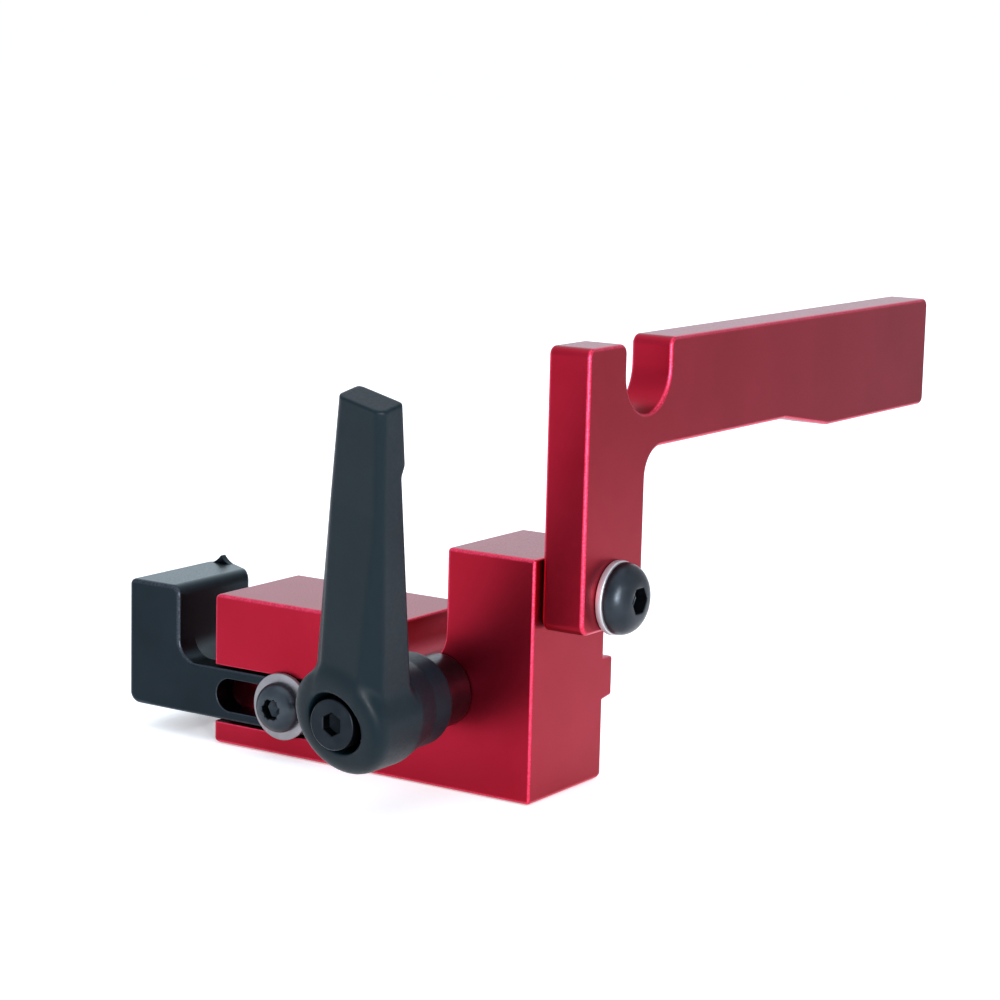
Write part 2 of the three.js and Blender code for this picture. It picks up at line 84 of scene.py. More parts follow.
# An edge, in the groups below, is the radius that an edge is rounded to.
BLOCK = Sizes(low_top=32.3, tall_left=19.3, notch_left=6.8, notch_bottom=25.5, edge=0.8,
              low_top_edge=1.5, low_bottom_edge=1.2, notch_edge=0.5, back_bottom_edge=2.0,
              low_back_edge=0.3, hole_edge=0.35, pivot_hole_depth=18.9, hook_hole_depth=10.2)
RIB = Sizes(centre_z=20.9, root_half=4.6, tip_half=4.1, edge=0.6)
GROOVE = Sizes(right=4.0, centre_z=10.8, half=6.15, depth=5.5)
ARM = Sizes(notch_y=11.05, notch_radius=8.6, notch_bottom=76.8, leg_back=10.75, underside=69.7,
            step_start=70.75, step_end=91.75, tail_underside=66.2, foot_edge=2.5, top_edge=1.8,
            notch_edge=2.0, step_edge=1.5, inner_fillet=6.0, edge=0.8, hole_edge=0.3)
HOOK = Sizes(post_right=-49.5, plate_top=16.4, slot_left=-39.2, slot_right=-5.9, slot_half=3.5,
             centre_z=10.8, foot_edge=2.4, top_edge=1.3, inner_fillet=4.5, edge=1.0,
             inner_top_edge=2.4, plate_edge=0.5, back_round=0.7, hidden_edge=0.2, slot_edge=0.3,
             inner_back_cut=3.8, outer_back_cut=2.0, groove_gap=0.1, post_top=32.6,
             before_slot=3.0)
POINTER = Sizes(from_left=4.4, half=2.8, bend=1.2, bend_rise=0.35, front=1.9, rear=0.4,
                flat=0.12, sink=0.1, root=1.5, buried=0.5, edge=0.14, steps=6)
BUTTON = Sizes(crown_share=0.40, rim=0.45, steps=14, edge=0.16, point_share=0.3, clear=1.0)
M6_HEAD = Sizes(height=3.3, socket=4.0, socket_depth=2.0)
M8_HEAD = Sizes(height=4.4, socket=5.0, socket_depth=2.6)
CAP_HEAD = Sizes(radius=5.05, height=3.9, edge=0.4, under_edge=0.15, socket=4.0, socket_depth=2.2,
                 point=0.8, bevel=0.35, bevel_from=0.2, bevel_past=0.15, thread_point=0.5, steps=5)
HUB = Sizes(rear=9.3, front=35.8, front_slope=0.3, rear_radius=9.5, shoulder_rear=15.5,
            shoulder_front=22.0, radius=11.0, recess=6.25, web_rear=21.0, web_front=23.4,
            web_bore=3.3, bore_middle=22.0, bore_half=3.0)
LEVER = Sizes(turn=14.0, tip_front=66.1, tip_back=67.5, root_half=8.5, half_slope=-0.048,
              root_front=33.0, front_slope=0.28, root_back=21.0, back_slope=0.37,
              pad_start=52.6, pad_full=55.6, pad_depth=1.2, back_chamfer=0.6, tip_chamfer=1.2,
              root_chamfer=4.2, root_chamfer_depth=4.2, chamfer_end=45.0, root_rise=2.6)
SPLINE = Sizes(teeth=20, tip=6.1, root=5.35, root_share=0.36, tip_share=0.12, start=16.4, end=20.1,
               clearance=0.35, cavity_from=17.2, bore=6.75, middle=19.0)
BLEND = Sizes(front=0.3, back=0.5, bevel=0.4, rear=0.5, tip=0.45, root=0.5, hub_rear=1.0, nose=3.4,
              hub_to_arm=1.6, recess_floor=0.5, recess_rim=0.7, mouth=0.3)
LEVER_GRID = Sizes(side=12.1, tip=68.5, rear=8.5, front=53.5, cell=0.42)
SETTLE_ROUNDS = 3
EVENING_ROUNDS = 3
RESETTLE_ROUNDS = 2
COLLAR = Sizes(radius=7.5, length=9.1, edge=0.5, neck_step=0.2, neck_fillet=0.3, steps=5)
INSERT = Sizes(tooth_edge=0.25, overlap=1.0)
SPRING = Sizes(wire=0.45, closed_turns=0.8, free_turns=4.0, steps_per_turn=40, sides=14, touch=1.02)
T_NUT = Sizes(neck=4.1, shoulder=1.5, back_chamfer=1.6, edge=0.4)


# ---- mesh helpers -------------------------------------------------------------------

def box_mm(node):
    low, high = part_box(node)
    return low / MM, high / MM


def object_from(name, mesh):
    obj = bpy.data.objects.new(name, mesh)
    bpy.context.scene.collection.objects.link(obj)
    return obj


def object_from_bmesh(name, bm):
    bmesh.ops.recalc_face_normals(bm, faces=bm.faces)
    mesh = bpy.data.meshes.new(name)
    bm.to_mesh(mesh)
    bm.free()
    return object_from(name, mesh)


def outline(corners):
    """Points round (u, v, radius) corners, with each radius drawn as an arc."""
    points = []
    for i, corner in enumerate(corners):
        here = Vector(corner[:2])
        radius = corner[2] if len(corner) > 2 else 0
        if not radius:
            points.append(here)
            continue
        to_before = (Vector(corners[i - 1][:2]) - here).normalized()
        to_after = (Vector(corners[(i + 1) % len(corners)][:2]) - here).normalized()
        half = to_before.angle(to_after) / 2
        centre = here + (to_before + to_after).normalized() * (radius / math.sin(half))
        start = here + to_before * (radius / math.tan(half)) - centre
        stop = here + to_after * (radius / math.tan(half)) - centre
        begin = math.atan2(start.y, start.x)
        sweep = (math.atan2(stop.y, stop.x) - begin + math.pi) % (2 * math.pi) - math.pi
        steps = max(1, round(abs(sweep) / ARC_STEP))
        for k in range(steps + 1):
            turn = begin + sweep * k / steps
            points.append(centre + radius * Vector((math.cos(turn), math.sin(turn))))
    kept = []
    for point in points:
        if not kept or (point - kept[-1]).length > SAME:
            kept.append(point)
    if (kept[0] - kept[-1]).length <= SAME:
        kept.pop()
    return kept


def quarter_turn(steps, first=1):
    """(sine, cosine) at equal steps round a quarter of a circle."""
    turns = [QUARTER * k / steps for k in range(first, steps + 1)]
    return [(math.sin(turn), math.cos(turn)) for turn in turns]


def skin(bm, rings):
    """Faces between each ring of points and the next."""
    for lower, upper in zip(rings, rings[1:]):
        for i in range(len(lower)):
            bm.faces.new((lower[i - 1], lower[i], upper[i], upper[i - 1]))


PLANES = {"X": (1, 2, 0), "Y": (0, 2, 1), "Z": (0, 1, 2)}


def prism(name, points, axis, start, end):
    bm = bmesh.new()
    u, v, w = PLANES[axis]
    rings = []
    for depth in (start, end):
        ring = []
        for point in points:
            place = [0.0, 0.0, 0.0]
            place[u], place[v], place[w] = point[0], point[1], depth
            ring.append(bm.verts.new(place))
        rings.append(ring)
    bm.faces.new(rings[0])
    bm.faces.new(rings[1])
    skin(bm, rings)
    return object_from_bmesh(name, bm)


def circle(radius, sides, centre=(0.0, 0.0), turn=0.0):
    return [(centre[0] + radius * math.cos(turn + 2 * math.pi * i / sides),
             centre[1] + radius * math.sin(turn + 2 * math.pi * i / sides)) for i in range(sides)]


def hole(name, thread, centre, axis, start, end):
    """A cutting solid for the hole that this thread's shank goes through."""
    rim = circle(thread.radius + HOLE_GAP, HOLE_SIDES, centre)
    return prism(name, rim, axis, start, end)


def at_hole(thread, centre, u, v):
    """True for a place on the surface of that hole."""
    reach = thread.radius + HOLE_GAP + HOLE_MARGIN
    return math.hypot(u - centre[0], v - centre[1]) < reach


def looking_out_front(x, z, face):
    """Maps (across, up, outwards) to a place in front of the block's front face."""
    return lambda a, b, out: (x + a, face - out, z + b)


def looking_out_right(y, z, face):
    return lambda a, b, out: (face + out, y + a, z + b)


def turned(name, profile, place, sides=96, closed=False):
    """A profile of (radius, outwards) points turned about the axis of the placement."""
    bm = bmesh.new()
    rings = []
    for radius, out in profile:
        if radius < SAME:
            rings.append([bm.verts.new(place(0, 0, out))])
        else:
            rings.append([bm.verts.new(place(a, b, out)) for a, b in circle(radius, sides)])
    pairs = list(zip(rings, rings[1:] + rings[:1])) if closed else list(zip(rings, rings[1:]))
    for lower, upper in pairs:
        for i in range(sides):
            ring = [lower[(i - 1) % len(lower)], lower[i % len(lower)],
                    upper[i % len(upper)], upper[(i - 1) % len(upper)]]
            corners = list(dict.fromkeys(ring))
            if len(corners) > 2:
                bm.faces.new(corners)
    return object_from_bmesh(name, bm)


def threaded(name, thread, start, end, place, point=0.8):
    """A rod with a helical thread between start and end, chamfered at both."""
    radius, pitch = thread.radius, thread.pitch
    sides, steps_per_pitch = 40, 8
    depth_share, root_share, flank_share = 0.54, 0.12, 0.7
    tip_inset = 0.1
    depth = depth_share * pitch
    tip = radius - depth - tip_inset
    count = int((end - start) / pitch * steps_per_pitch) + 1
    bm = bmesh.new()
    rings = []
    for step in range(count):
        out = start + (end - start) * step / (count - 1)
        ring = []
        for side in range(sides):
            angle = 2 * math.pi * side / sides
            phase = (out / pitch + side / sides) % 1.0
            rise = min(1.0, max(0.0, (abs(2 * phase - 1) - root_share) / flank_share))
            here = radius - depth * (1 - rise)
            here = min(here, tip + (out - start) * depth / point, tip + (end - out) * depth / point)
            ring.append(bm.verts.new(place(here * math.cos(angle), here * math.sin(angle), out)))
        rings.append(ring)
    skin(bm, rings)
    bm.faces.new(rings[0])
    bm.faces.new(rings[-1])
    return object_from_bmesh(name, bm)


def apply_modifiers(obj):
    bpy.context.view_layer.update()
    graph = bpy.context.evaluated_depsgraph_get()
    mesh = bpy.data.meshes.new_from_object(obj.evaluated_get(graph))
    old = obj.data
    obj.modifiers.clear()
    obj.data = mesh
    bpy.data.meshes.remove(old)


def boolean(target, tool, operation):
    modifier = target.modifiers.new("cut", "BOOLEAN")
    modifier.operation = operation
    modifier.solver = "EXACT"
    modifier.object = tool
    apply_modifiers(target)
    mesh = tool.data
    bpy.data.objects.remove(tool)
    bpy.data.meshes.remove(mesh)
    return target


def cut(target, tool):
    return boolean(target, tool, "DIFFERENCE")


def join(target, *others):
    bm = bmesh.new()
    bm.from_mesh(target.data)
    for other in others:
        bm.from_mesh(other.data)
        mesh = other.data
        bpy.data.objects.remove(other)
        bpy.data.meshes.remove(mesh)
    bm.to_mesh(target.data)
    bm.free()


SHARP = math.radians(28)


def round_edges(obj, radius_at, segments=4, sharp=SHARP, splits=()):
    """Rounds each sharp edge by radius_at(middle, direction), and marks the rounded faces for the
    painted edge highlight of the anodised materials.
    Faces are first split along planes (axis, place), so that none has a hole."""
    bm = bmesh.new()
    bm.from_mesh(obj.data)
    bmesh.ops.remove_doubles(bm, verts=bm.verts, dist=SAME)
    for axis, place in splits:
        normal = Vector([float(axis == name) for name in "XYZ"])
        bmesh.ops.bisect_plane(bm, geom=bm.verts[:] + bm.edges[:] + bm.faces[:], dist=SAME,
                               plane_co=normal * place, plane_no=normal)
    radii = {}
    for edge in bm.edges:
        if edge.is_convex and edge.calc_face_angle(0) > sharp:
            start, end = edge.verts[0].co, edge.verts[1].co
            radii[edge.index] = radius_at((start + end) / 2, (end - start).normalized())
    widest = max(radii.values())
    layer = bm.edges.layers.float.new("bevel_weight_edge")
    bm.edges.index_update()
    for edge in bm.edges:
        edge[layer] = radii.get(edge.index, 0.0) / widest
    bm.to_mesh(obj.data)
    bm.free()
    obj.data.materials.clear()
    for _ in range(2):
        obj.data.materials.append(None)
    bevel = obj.modifiers.new("rounding", "BEVEL")
    bevel.limit_method = "WEIGHT"
    bevel.offset_type = "OFFSET"
    bevel.width = widest
    bevel.segments = segments
    bevel.use_clamp_overlap = False
    bevel.miter_outer = "MITER_SHARP"
    bevel.material = 1
    apply_modifiers(obj)
    mark_rounding(obj)
    return obj


def mark_rounding(obj):
    """The edge mask is 1 on the points that lie only on rounded faces, and 0 on all others; the
    anodised materials paint a highlight where it is 1.
    """
    mesh = obj.data
    rounded = np.ones(len(mesh.vertices), dtype=np.float32)
    for face in mesh.polygons:
        if face.material_index == 0:
            for vertex in face.vertices:
                rounded[vertex] = 0.0
        face.material_index = 0
    attribute = mesh.attributes.new("painted_edge_highlight", "FLOAT", "POINT")
    attribute.data.foreach_set("value", rounded)


def finish_piece(obj, node, body, material, sharp=None, weighted=True):
    mesh = obj.data
    mesh.transform(Matrix.Scale(MM, 4))
    mesh.polygons.foreach_set("use_smooth", [True] * len(mesh.polygons))
    if sharp:
        mesh.set_sharp_from_angle(angle=sharp)
    if weighted:
        modifier = obj.modifiers.new("normals", "WEIGHTED_NORMAL")
        modifier.keep_sharp = bool(sharp)
        apply_modifiers(obj)
    obj.data.materials.clear()
    obj.data.materials.append(material)
    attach(obj, body)
    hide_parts(node)


# ---- materials ----------------------------------------------------------------------

FIRST_COLOUR, SECOND_COLOUR = 6, 7      # the mix node's colour inputs
MIXED_COLOUR = 2                        # its colour output


class Nodes:
    def __init__(self, name):
        self.material = bpy.data.materials.new(name)
        self.material.use_nodes = True
        self.tree = self.material.node_tree
        self.tree.nodes.clear()
        self.out = self.tree.nodes.new("ShaderNodeOutputMaterial")
        self.coordinates = self.tree.nodes.new("ShaderNodeTexCoord").outputs["Object"]

    def feed(self, node, inputs):
        """Gives the node's inputs a value, or a link from another node's output."""
        for key, value in inputs.items():
            if isinstance(value, bpy.types.NodeSocket):
                self.tree.links.new(value, node.inputs[key])
            else:
                node.inputs[key].default_value = value
        return node

    def noise(self, scale, detail=3.0, roughness=0.5):
        node = self.tree.nodes.new("ShaderNodeTexNoise")
        self.feed(node, {"Scale": scale, "Detail": detail, "Roughness": roughness,
                         "Vector": self.coordinates})
        return node.outputs["Fac"]

    def ramp(self, source, low, high, to_low, to_high):
        node = self.tree.nodes.new("ShaderNodeMapRange")
        self.feed(node, {"From Min": low, "From Max": high, "To Min": to_low, "To Max": to_high,
                         "Value": source})
        return node.outputs["Result"]

    def mix(self, share, first, second):
        node = self.tree.nodes.new("ShaderNodeMix")
        node.data_type = "RGBA"
        first, second = ((*value, 1.0) if isinstance(value, tuple) else value
                         for value in (first, second))
        self.feed(node, {"Factor": share, FIRST_COLOUR: first, SECOND_COLOUR: second})
        return node.outputs[MIXED_COLOUR]

    def multiply(self, first, second):
        node = self.tree.nodes.new("ShaderNodeMath")
        node.operation = "MULTIPLY"
        self.feed(node, {0: first, 1: second})
        return node.outputs[0]

    def attribute(self, name):
        node = self.tree.nodes.new("ShaderNodeAttribute")
        node.attribute_name = name
        return node.outputs["Fac"]

    def bump(self, height, strength, distance):
        node = self.tree.nodes.new("ShaderNodeBump")
        self.feed(node, {"Strength": strength, "Distance": distance, "Height": height})
        return node.outputs["Normal"]

    def shader(self, metallic, colour, roughness, normal=None, specular=0.5, glow=0.0,
               grazing=(1.0, 1.0, 1.0)):
        """Grazing is the colour at grazing angles. Only the floor glows, to lift its shade."""
        node = self.tree.nodes.new("ShaderNodeBsdfPrincipled")
        node.inputs["Metallic"].default_value = metallic
        node.inputs["Specular IOR Level"].default_value = specular
        node.inputs["Specular Tint"].default_value = (*grazing, 1.0)
        node.inputs["Emission Color"].default_value = (1.0, 1.0, 1.0, 1.0)
        node.inputs["Emission Strength"].default_value = glow
        self.feed(node, {"Base Color": colour, "Roughness": roughness})
        if normal:
            self.feed(node, {"Normal": normal})
        self.feed(self.out, {"Surface": node.outputs[0]})
        return self.material


ANODISED_GRAIN = 2600.0
POWDER_GRAIN = 1500.0
OXIDE_GRAIN = 1800.0
ZINC_GRAIN = 1400.0
WIRE_GRAIN = 2200.0
NYLON_GRAIN = 900.0
FINE_BUMP = 0.00002
COARSE_BUMP = 0.00003


# The edge colour is a painted highlight, laid on rounded edges where the edge mask is 1.
def anodised(name, dark, pale, edge, roughness, grain_bump, grazing):
    nodes = Nodes(name)
    grain = nodes.noise(ANODISED_GRAIN, 2.0, 0.6)
    cloud = nodes.noise(60.0, 2.0)
    edge_highlight = nodes.attribute("painted_edge_highlight")
    sparkle = nodes.ramp(grain, 0.35, 0.7, 0.35, 1.0)
    body = nodes.mix(nodes.ramp(cloud, 0.35, 0.65, 0.0, 1.0), dark, pale)
    # Rounded edges get the brighter edge colour, broken up by the grain: a painted highlight.
    colour = nodes.mix(nodes.multiply(edge_highlight, sparkle), body, edge)
    rough = nodes.ramp(grain, 0.3, 0.7, roughness - 0.04, roughness + 0.04)
    return nodes.shader(1.0, colour, rough, nodes.bump(grain, grain_bump, FINE_BUMP),
                        grazing=grazing)


def red_anodised():
    # The third colour is the painted highlight on the rounded edges.
    return anodised("red_anodised", (0.30, 0.0085, 0.021), (0.325, 0.0105, 0.026),
                    (0.80, 0.055, 0.120), 0.37, 0.35, (0.74, 1.0, 1.0))


def black_anodised():
    # The third colour is the painted highlight on the rounded edges.
    return anodised("black_anodised", (0.011, 0.016, 0.020), (0.014, 0.020, 0.025),
                    (0.05, 0.058, 0.07), 0.35, 0.3, (0.93, 1.0, 1.0))


def powder_coat():
    nodes = Nodes("black_powder_coat")
    grain = nodes.noise(POWDER_GRAIN, 3.0, 0.6)
    cloud = nodes.noise(90.0, 2.0)
    colour = nodes.mix(cloud, (0.0008, 0.0055, 0.0085), (0.0018, 0.008, 0.012))
    rough = nodes.ramp(grain, 0.3, 0.7, 0.38, 0.48)
    return nodes.shader(0.0, colour, rough, nodes.bump(grain, 0.5, COARSE_BUMP), 0.145)


def steel(name, dark, pale, roughness, scale, bump, metallic=1.0):
    nodes = Nodes(name)
    grain = nodes.noise(scale, 3.0, 0.6)
    cloud = nodes.noise(220.0, 2.0)
    colour = nodes.mix(nodes.ramp(cloud, 0.3, 0.7, 0.0, 1.0), dark, pale)
    rough = nodes.ramp(grain, 0.3, 0.7, roughness - 0.06, roughness + 0.06)
    return nodes.shader(metallic, colour, rough, nodes.bump(grain, bump, FINE_BUMP))


def nylon():
    nodes = Nodes("nylon")
    grain = nodes.noise(NYLON_GRAIN, 3.0, 0.5)
    colour = nodes.mix(grain, (0.62, 0.6, 0.55), (0.72, 0.70, 0.65))
    return nodes.shader(0.0, colour, nodes.ramp(grain, 0.3, 0.7, 0.5, 0.62),
                        nodes.bump(grain, 0.2, FINE_BUMP))


RED = red_anodised()
BLACK = black_anodised()
COAT = powder_coat()
OXIDE = steel("black_oxide_steel", (0.024, 0.029, 0.035), (0.039, 0.045, 0.053), 0.34,
              OXIDE_GRAIN, 0.4)
# A paler copy of the black oxide steel, for the hook screw's head.
PALE_OXIDE = steel("pale_oxide_steel", (0.036, 0.043, 0.051), (0.055, 0.064, 0.074), 0.34,
                   OXIDE_GRAIN, 0.4)
DARK_OXIDE = steel("dark_oxide_steel", (0.010, 0.013, 0.016), (0.018, 0.022, 0.027), 0.36,
                   OXIDE_GRAIN, 0.4)
ZINC = steel("bright_zinc_steel", (0.41, 0.41, 0.43), (0.50, 0.50, 0.52), 0.40,
             ZINC_GRAIN, 0.25, 0.65)
DULL_ZINC = steel("dull_zinc_steel", (0.22, 0.21, 0.22), (0.29, 0.275, 0.29), 0.38,
                  ZINC_GRAIN, 0.25, 0.8)
SPRING_WIRE = steel("spring_steel", (0.3, 0.3, 0.31), (0.4, 0.4, 0.41), 0.3, WIRE_GRAIN, 0.2)
NYLON = nylon()


# ---- main block ---------------------------------------------------------------------

def axis_of(node, u, v):
    """The middle of a turned piece, in the two axes that its own axis is square to."""
    low, high = box_mm(node)
    return (low[u] + high[u]) / 2, (low[v] + high[v]) / 2


block_low, block_high = box_mm("main_block")
front_face = block_low.y
back_face = -front_face
rib_tip = block_high.y
STUD_AXIS = stud_x, stud_z = axis_of("clamp_stud", 0, 2)
PIVOT_AXIS = pivot_y, pivot_z = axis_of("pivot_screw", 1, 2)
HOOK_SCREW_AXIS = axis_of("hook_screw", 0, 2)


def main_block():
    root_low = RIB.centre_z - RIB.root_half
    root_high = RIB.centre_z + RIB.root_half
    side = [
        (front_face, block_low.z), (back_face, block_low.z), (back_face, root_low),
        (rib_tip, RIB.centre_z - RIB.tip_half), (rib_tip, RIB.centre_z + RIB.tip_half),
        (back_face, root_high), (back_face, block_high.z), (front_face, block_high.z),
    ]
    body = prism("main_block_visual", side, "X", block_low.x, block_high.x)
    radius = (BLOCK.tall_left - BLOCK.notch_left) / 2 - SAME
    step = outline([
        (block_low.x - PAST, BLOCK.low_top),
        (BLOCK.notch_left, BLOCK.low_top),
        (BLOCK.notch_left, BLOCK.notch_bottom, radius),
        (BLOCK.tall_left, BLOCK.notch_bottom, radius),
        (BLOCK.tall_left, block_high.z + PAST),
        (block_low.x - PAST, block_high.z + PAST),
    ])
    cut(body, prism("step", step, "Y", front_face - PAST, rib_tip + PAST))
    low = GROOVE.centre_z - GROOVE.half
    high = GROOVE.centre_z + GROOVE.half
    groove = outline([
        (block_low.x - PAST, low), (GROOVE.right, low, GROOVE.half - SAME),
        (GROOVE.right, high, GROOVE.half - SAME), (block_low.x - PAST, high),
    ])
    floor = front_face + GROOVE.depth
    cut(body, prism("groove", groove, "Y", front_face - PAST, floor))
    cut(body, hole("hook_hole", M6, HOOK_SCREW_AXIS, "Y", floor - PAST, floor + BLOCK.hook_hole_depth))
    cut(body, hole("stud_hole", M6, STUD_AXIS, "Y", front_face - PAST, rib_tip + PAST))
    cut(body, hole("pivot_hole", M8, PIVOT_AXIS, "X", block_high.x - BLOCK.pivot_hole_depth,
                   block_high.x + PAST))

    def radius_at(middle, direction):
        if at_hole(M6, HOOK_SCREW_AXIS, middle.x, middle.z):
            return 0.0
        if at_hole(M6, STUD_AXIS, middle.x, middle.z):
            return BLOCK.hole_edge
        if at_hole(M8, PIVOT_AXIS, middle.y, middle.z) and middle.x > BLOCK.tall_left + SAME:
            return BLOCK.hole_edge if middle.x > block_high.x - EDGE_BAND else 0.0
        if middle.y < floor + SAME and abs(middle.z - GROOVE.centre_z) < GROOVE.half + SAME:
            return 0.0 if middle.y > floor - EDGE_BAND else BLOCK.hole_edge
        along_x = abs(direction.x) > ALONG
        if along_x and abs(middle.y - back_face) < SAME:
            if block_low.z + EDGE_BAND < middle.z < block_high.z - EDGE_BAND:
                return BLOCK.low_back_edge
        if BLOCK.notch_left - SAME <= middle.x <= BLOCK.tall_left + SAME:
            if middle.z < BLOCK.low_top + SAME:
                return BLOCK.notch_edge
        if middle.y > back_face + SAME:
            return RIB.edge
        at_left = middle.x < block_low.x + EDGE_BAND
        if at_left and abs(middle.z - BLOCK.low_top) < SAME:
            return BLOCK.low_top_edge
        if at_left and middle.z < SAME:
            return BLOCK.low_bottom_edge
        if along_x and middle.y > 0 and middle.z < SAME:
            return BLOCK.back_bottom_edge
        return BLOCK.edge

    round_edges(body, radius_at, splits=[
        ("X", stud_x), ("Z", GROOVE.centre_z), ("Z", stud_z),
        ("Y", pivot_y), ("Z", pivot_z), ("X", HOOK_SCREW_AXIS[0])])
    finish_piece(body, "main_block", "block", RED)


# ---- flip arm -----------------------------------------------------------------------

def flip_arm():
    low, high = box_mm("flip_arm")
    notch_front = ARM.notch_y - ARM.notch_radius
    notch_back = ARM.notch_y + ARM.notch_radius
    notch_round = ARM.notch_radius - SAME
    shape = outline([
        (low.y, low.z, ARM.foot_edge), (ARM.leg_back, low.z, ARM.foot_edge),
        (ARM.leg_back, ARM.underside, ARM.inner_fillet),
        (ARM.step_start, ARM.underside, ARM.step_edge),
        (ARM.step_end, ARM.tail_underside, ARM.step_edge),
        (high.y, ARM.tail_underside, ARM.top_edge), (high.y, high.z, ARM.top_edge),
        (notch_back, high.z, ARM.notch_edge), (notch_back, ARM.notch_bottom, notch_round),
        (notch_front, ARM.notch_bottom, notch_round), (notch_front, high.z, ARM.notch_edge),
        (low.y, high.z, ARM.top_edge),
    ])
    body = prism("flip_arm_visual", shape, "X", low.x, high.x)
    cut(body, hole("arm_hole", M8, PIVOT_AXIS, "X", low.x - PAST, high.x + PAST))

    def radius_at(middle, direction):
        return ARM.hole_edge if at_hole(M8, PIVOT_AXIS, middle.y, middle.z) else ARM.edge

    round_edges(body, radius_at, splits=[("Y", pivot_y), ("Z", pivot_z)])
    finish_piece(body, "flip_arm", "arm", RED)


# ---- sliding hook -------------------------------------------------------------------

def stop_hook():
    low, high = box_mm("stop_hook")
    face = low.y
    post_back = back_face
    plate_back = front_face + GROOVE.depth - HOOK.groove_gap
    plate_round = (HOOK.plate_top - low.z) / 2 - SAME
    front_shape = outline([
        (low.x, low.z, HOOK.foot_edge), (high.x, low.z, plate_round),
        (high.x, HOOK.plate_top, plate_round),
        (HOOK.post_right, HOOK.plate_top, HOOK.inner_fillet),
        (HOOK.post_right, HOOK.post_top, HOOK.inner_top_edge),
        (low.x, HOOK.post_top, HOOK.top_edge),
    ])
    top_shape = outline([
        (low.x, face), (high.x + PAST, face), (high.x + PAST, plate_back),
        (HOOK.post_right, plate_back),
        (HOOK.post_right, post_back - HOOK.inner_back_cut),
        (low.x + POINTER.from_left + POINTER.half, post_back),
        (low.x + HOOK.outer_back_cut, post_back),
        (low.x, post_back - HOOK.outer_back_cut),
    ])
    body = prism("stop_hook_visual", front_shape, "Y", face, post_back + PAST)
    boolean(body, prism("plan", top_shape, "Z", low.z - PAST, HOOK.post_top + PAST), "INTERSECT")
    slot_round = HOOK.slot_half - SAME
    slot = outline([
        (HOOK.slot_left, HOOK.centre_z - HOOK.slot_half, slot_round),
        (HOOK.slot_right, HOOK.centre_z - HOOK.slot_half, slot_round),
        (HOOK.slot_right, HOOK.centre_z + HOOK.slot_half, slot_round),
        (HOOK.slot_left, HOOK.centre_z + HOOK.slot_half, slot_round),
    ])
    cut(body, prism("slot", slot, "Y", face - PAST, plate_back + PAST))

    def radius_at(middle, direction):
        on_plate = middle.x > HOOK.post_right + HOOK.inner_fillet
        if middle.x > HOOK.post_right + SAME and middle.y > face + EDGE_BAND:
            return HOOK.hidden_edge
        if on_plate and abs(middle.z - HOOK.centre_z) < HOOK.slot_half + SAME:
            return HOOK.slot_edge
        if on_plate:
            return HOOK.plate_edge
        if middle.y > post_back - HOOK.inner_back_cut - SAME:
            return HOOK.back_round
        if middle.x > HOOK.post_right - SAME and middle.z > HOOK.plate_top:
            rise = (middle.z - HOOK.plate_top) / HOOK.inner_fillet
            return HOOK.plate_edge + (HOOK.edge - HOOK.plate_edge) * min(1.0, rise)
        return HOOK.edge

    round_edges(body, radius_at, splits=[
        ("X", HOOK.slot_left - HOOK.before_slot), ("Z", HOOK.centre_z),
        ("X", HOOK.slot_right - HOOK.slot_half)])
    join(body, pointer(low.x + POINTER.from_left, HOOK.post_top, high.z, post_back))
    finish_piece(body, "stop_hook", "hook", BLACK)


def pointer(middle_x, base, tip, back):
    """The small ridge on the post, with a curved flank on each side."""
    section = []
    for side in (1, -1):
        start = (middle_x + side * POINTER.half, base - POINTER.sink)
        pull = (middle_x + side * POINTER.bend, base + POINTER.bend_rise)
        end = (middle_x + side * POINTER.flat, tip)
        flank = []
        for k in range(POINTER.steps + 1):
            t = k / POINTER.steps
            flank.append(tuple((1 - t) ** 2 * a + 2 * t * (1 - t) * b + t * t * c
                               for a, b, c in zip(start, pull, end)))
        section += flank if side > 0 else flank[::-1]
    section += [(middle_x + side * POINTER.half, base - POINTER.root) for side in (-1, 1)]
    ridge = prism("pointer", section, "Y", back - POINTER.front, back - POINTER.rear)

    def radius_at(middle, direction):
        return 0.0 if middle.z < base - POINTER.buried else POINTER.edge

    return round_edges(ridge, radius_at, 2, math.radians(50))


# ---- screws and washers -------------------------------------------------------------

def socket_cutter(place, levels, point, turn=0.0):
    """A cutting solid for a hexagon socket: rings of (radius, outwards), and its point."""
    bm = bmesh.new()
    rings = [[bm.verts.new(place(a, b, out)) for a, b in circle(radius, HEXAGON, turn=turn)]
             for radius, out in levels]
    bottom = bm.verts.new(place(0, 0, point))
    bm.faces.new(rings[-1])
    skin(bm, rings)
    for i in range(HEXAGON):
        bm.faces.new((rings[0][i - 1], rings[0][i], bottom))
    return object_from_bmesh("socket", bm)


def button_screw(node, place, radius, length, head, thread, material):
    """A screw of this whole length, with the underside of its head at the placement."""
    height, rim = head.height, BUTTON.rim
    crown = BUTTON.crown_share * radius
    profile = [(0, 0.0), (radius - rim / 2, 0.0), (radius, rim / 2), (radius, rim)]
    for sine, cosine in quarter_turn(BUTTON.steps):
        profile.append((crown + (radius - crown) * cosine, rim + (height - rim) * sine))
    profile.append((0, height))
    body = turned(node + "_visual", profile, place)
    across = head.socket / math.sqrt(3)
    floor = height - head.socket_depth
    levels = [(across, floor), (across, height + BUTTON.clear)]
    cut(body, socket_cutter(place, levels, floor - BUTTON.point_share * head.socket))
    bevel = body.modifiers.new("rounding", "BEVEL")
    bevel.limit_method = "ANGLE"
    bevel.angle_limit = math.radians(42)
    bevel.width = BUTTON.edge
    bevel.segments = 2
    bevel.use_clamp_overlap = False
    apply_modifiers(body)
    join(body, threaded("shaft", thread, height - length, OVERLAP, place))
    finish_piece(body, node, "block", material, SHARP)


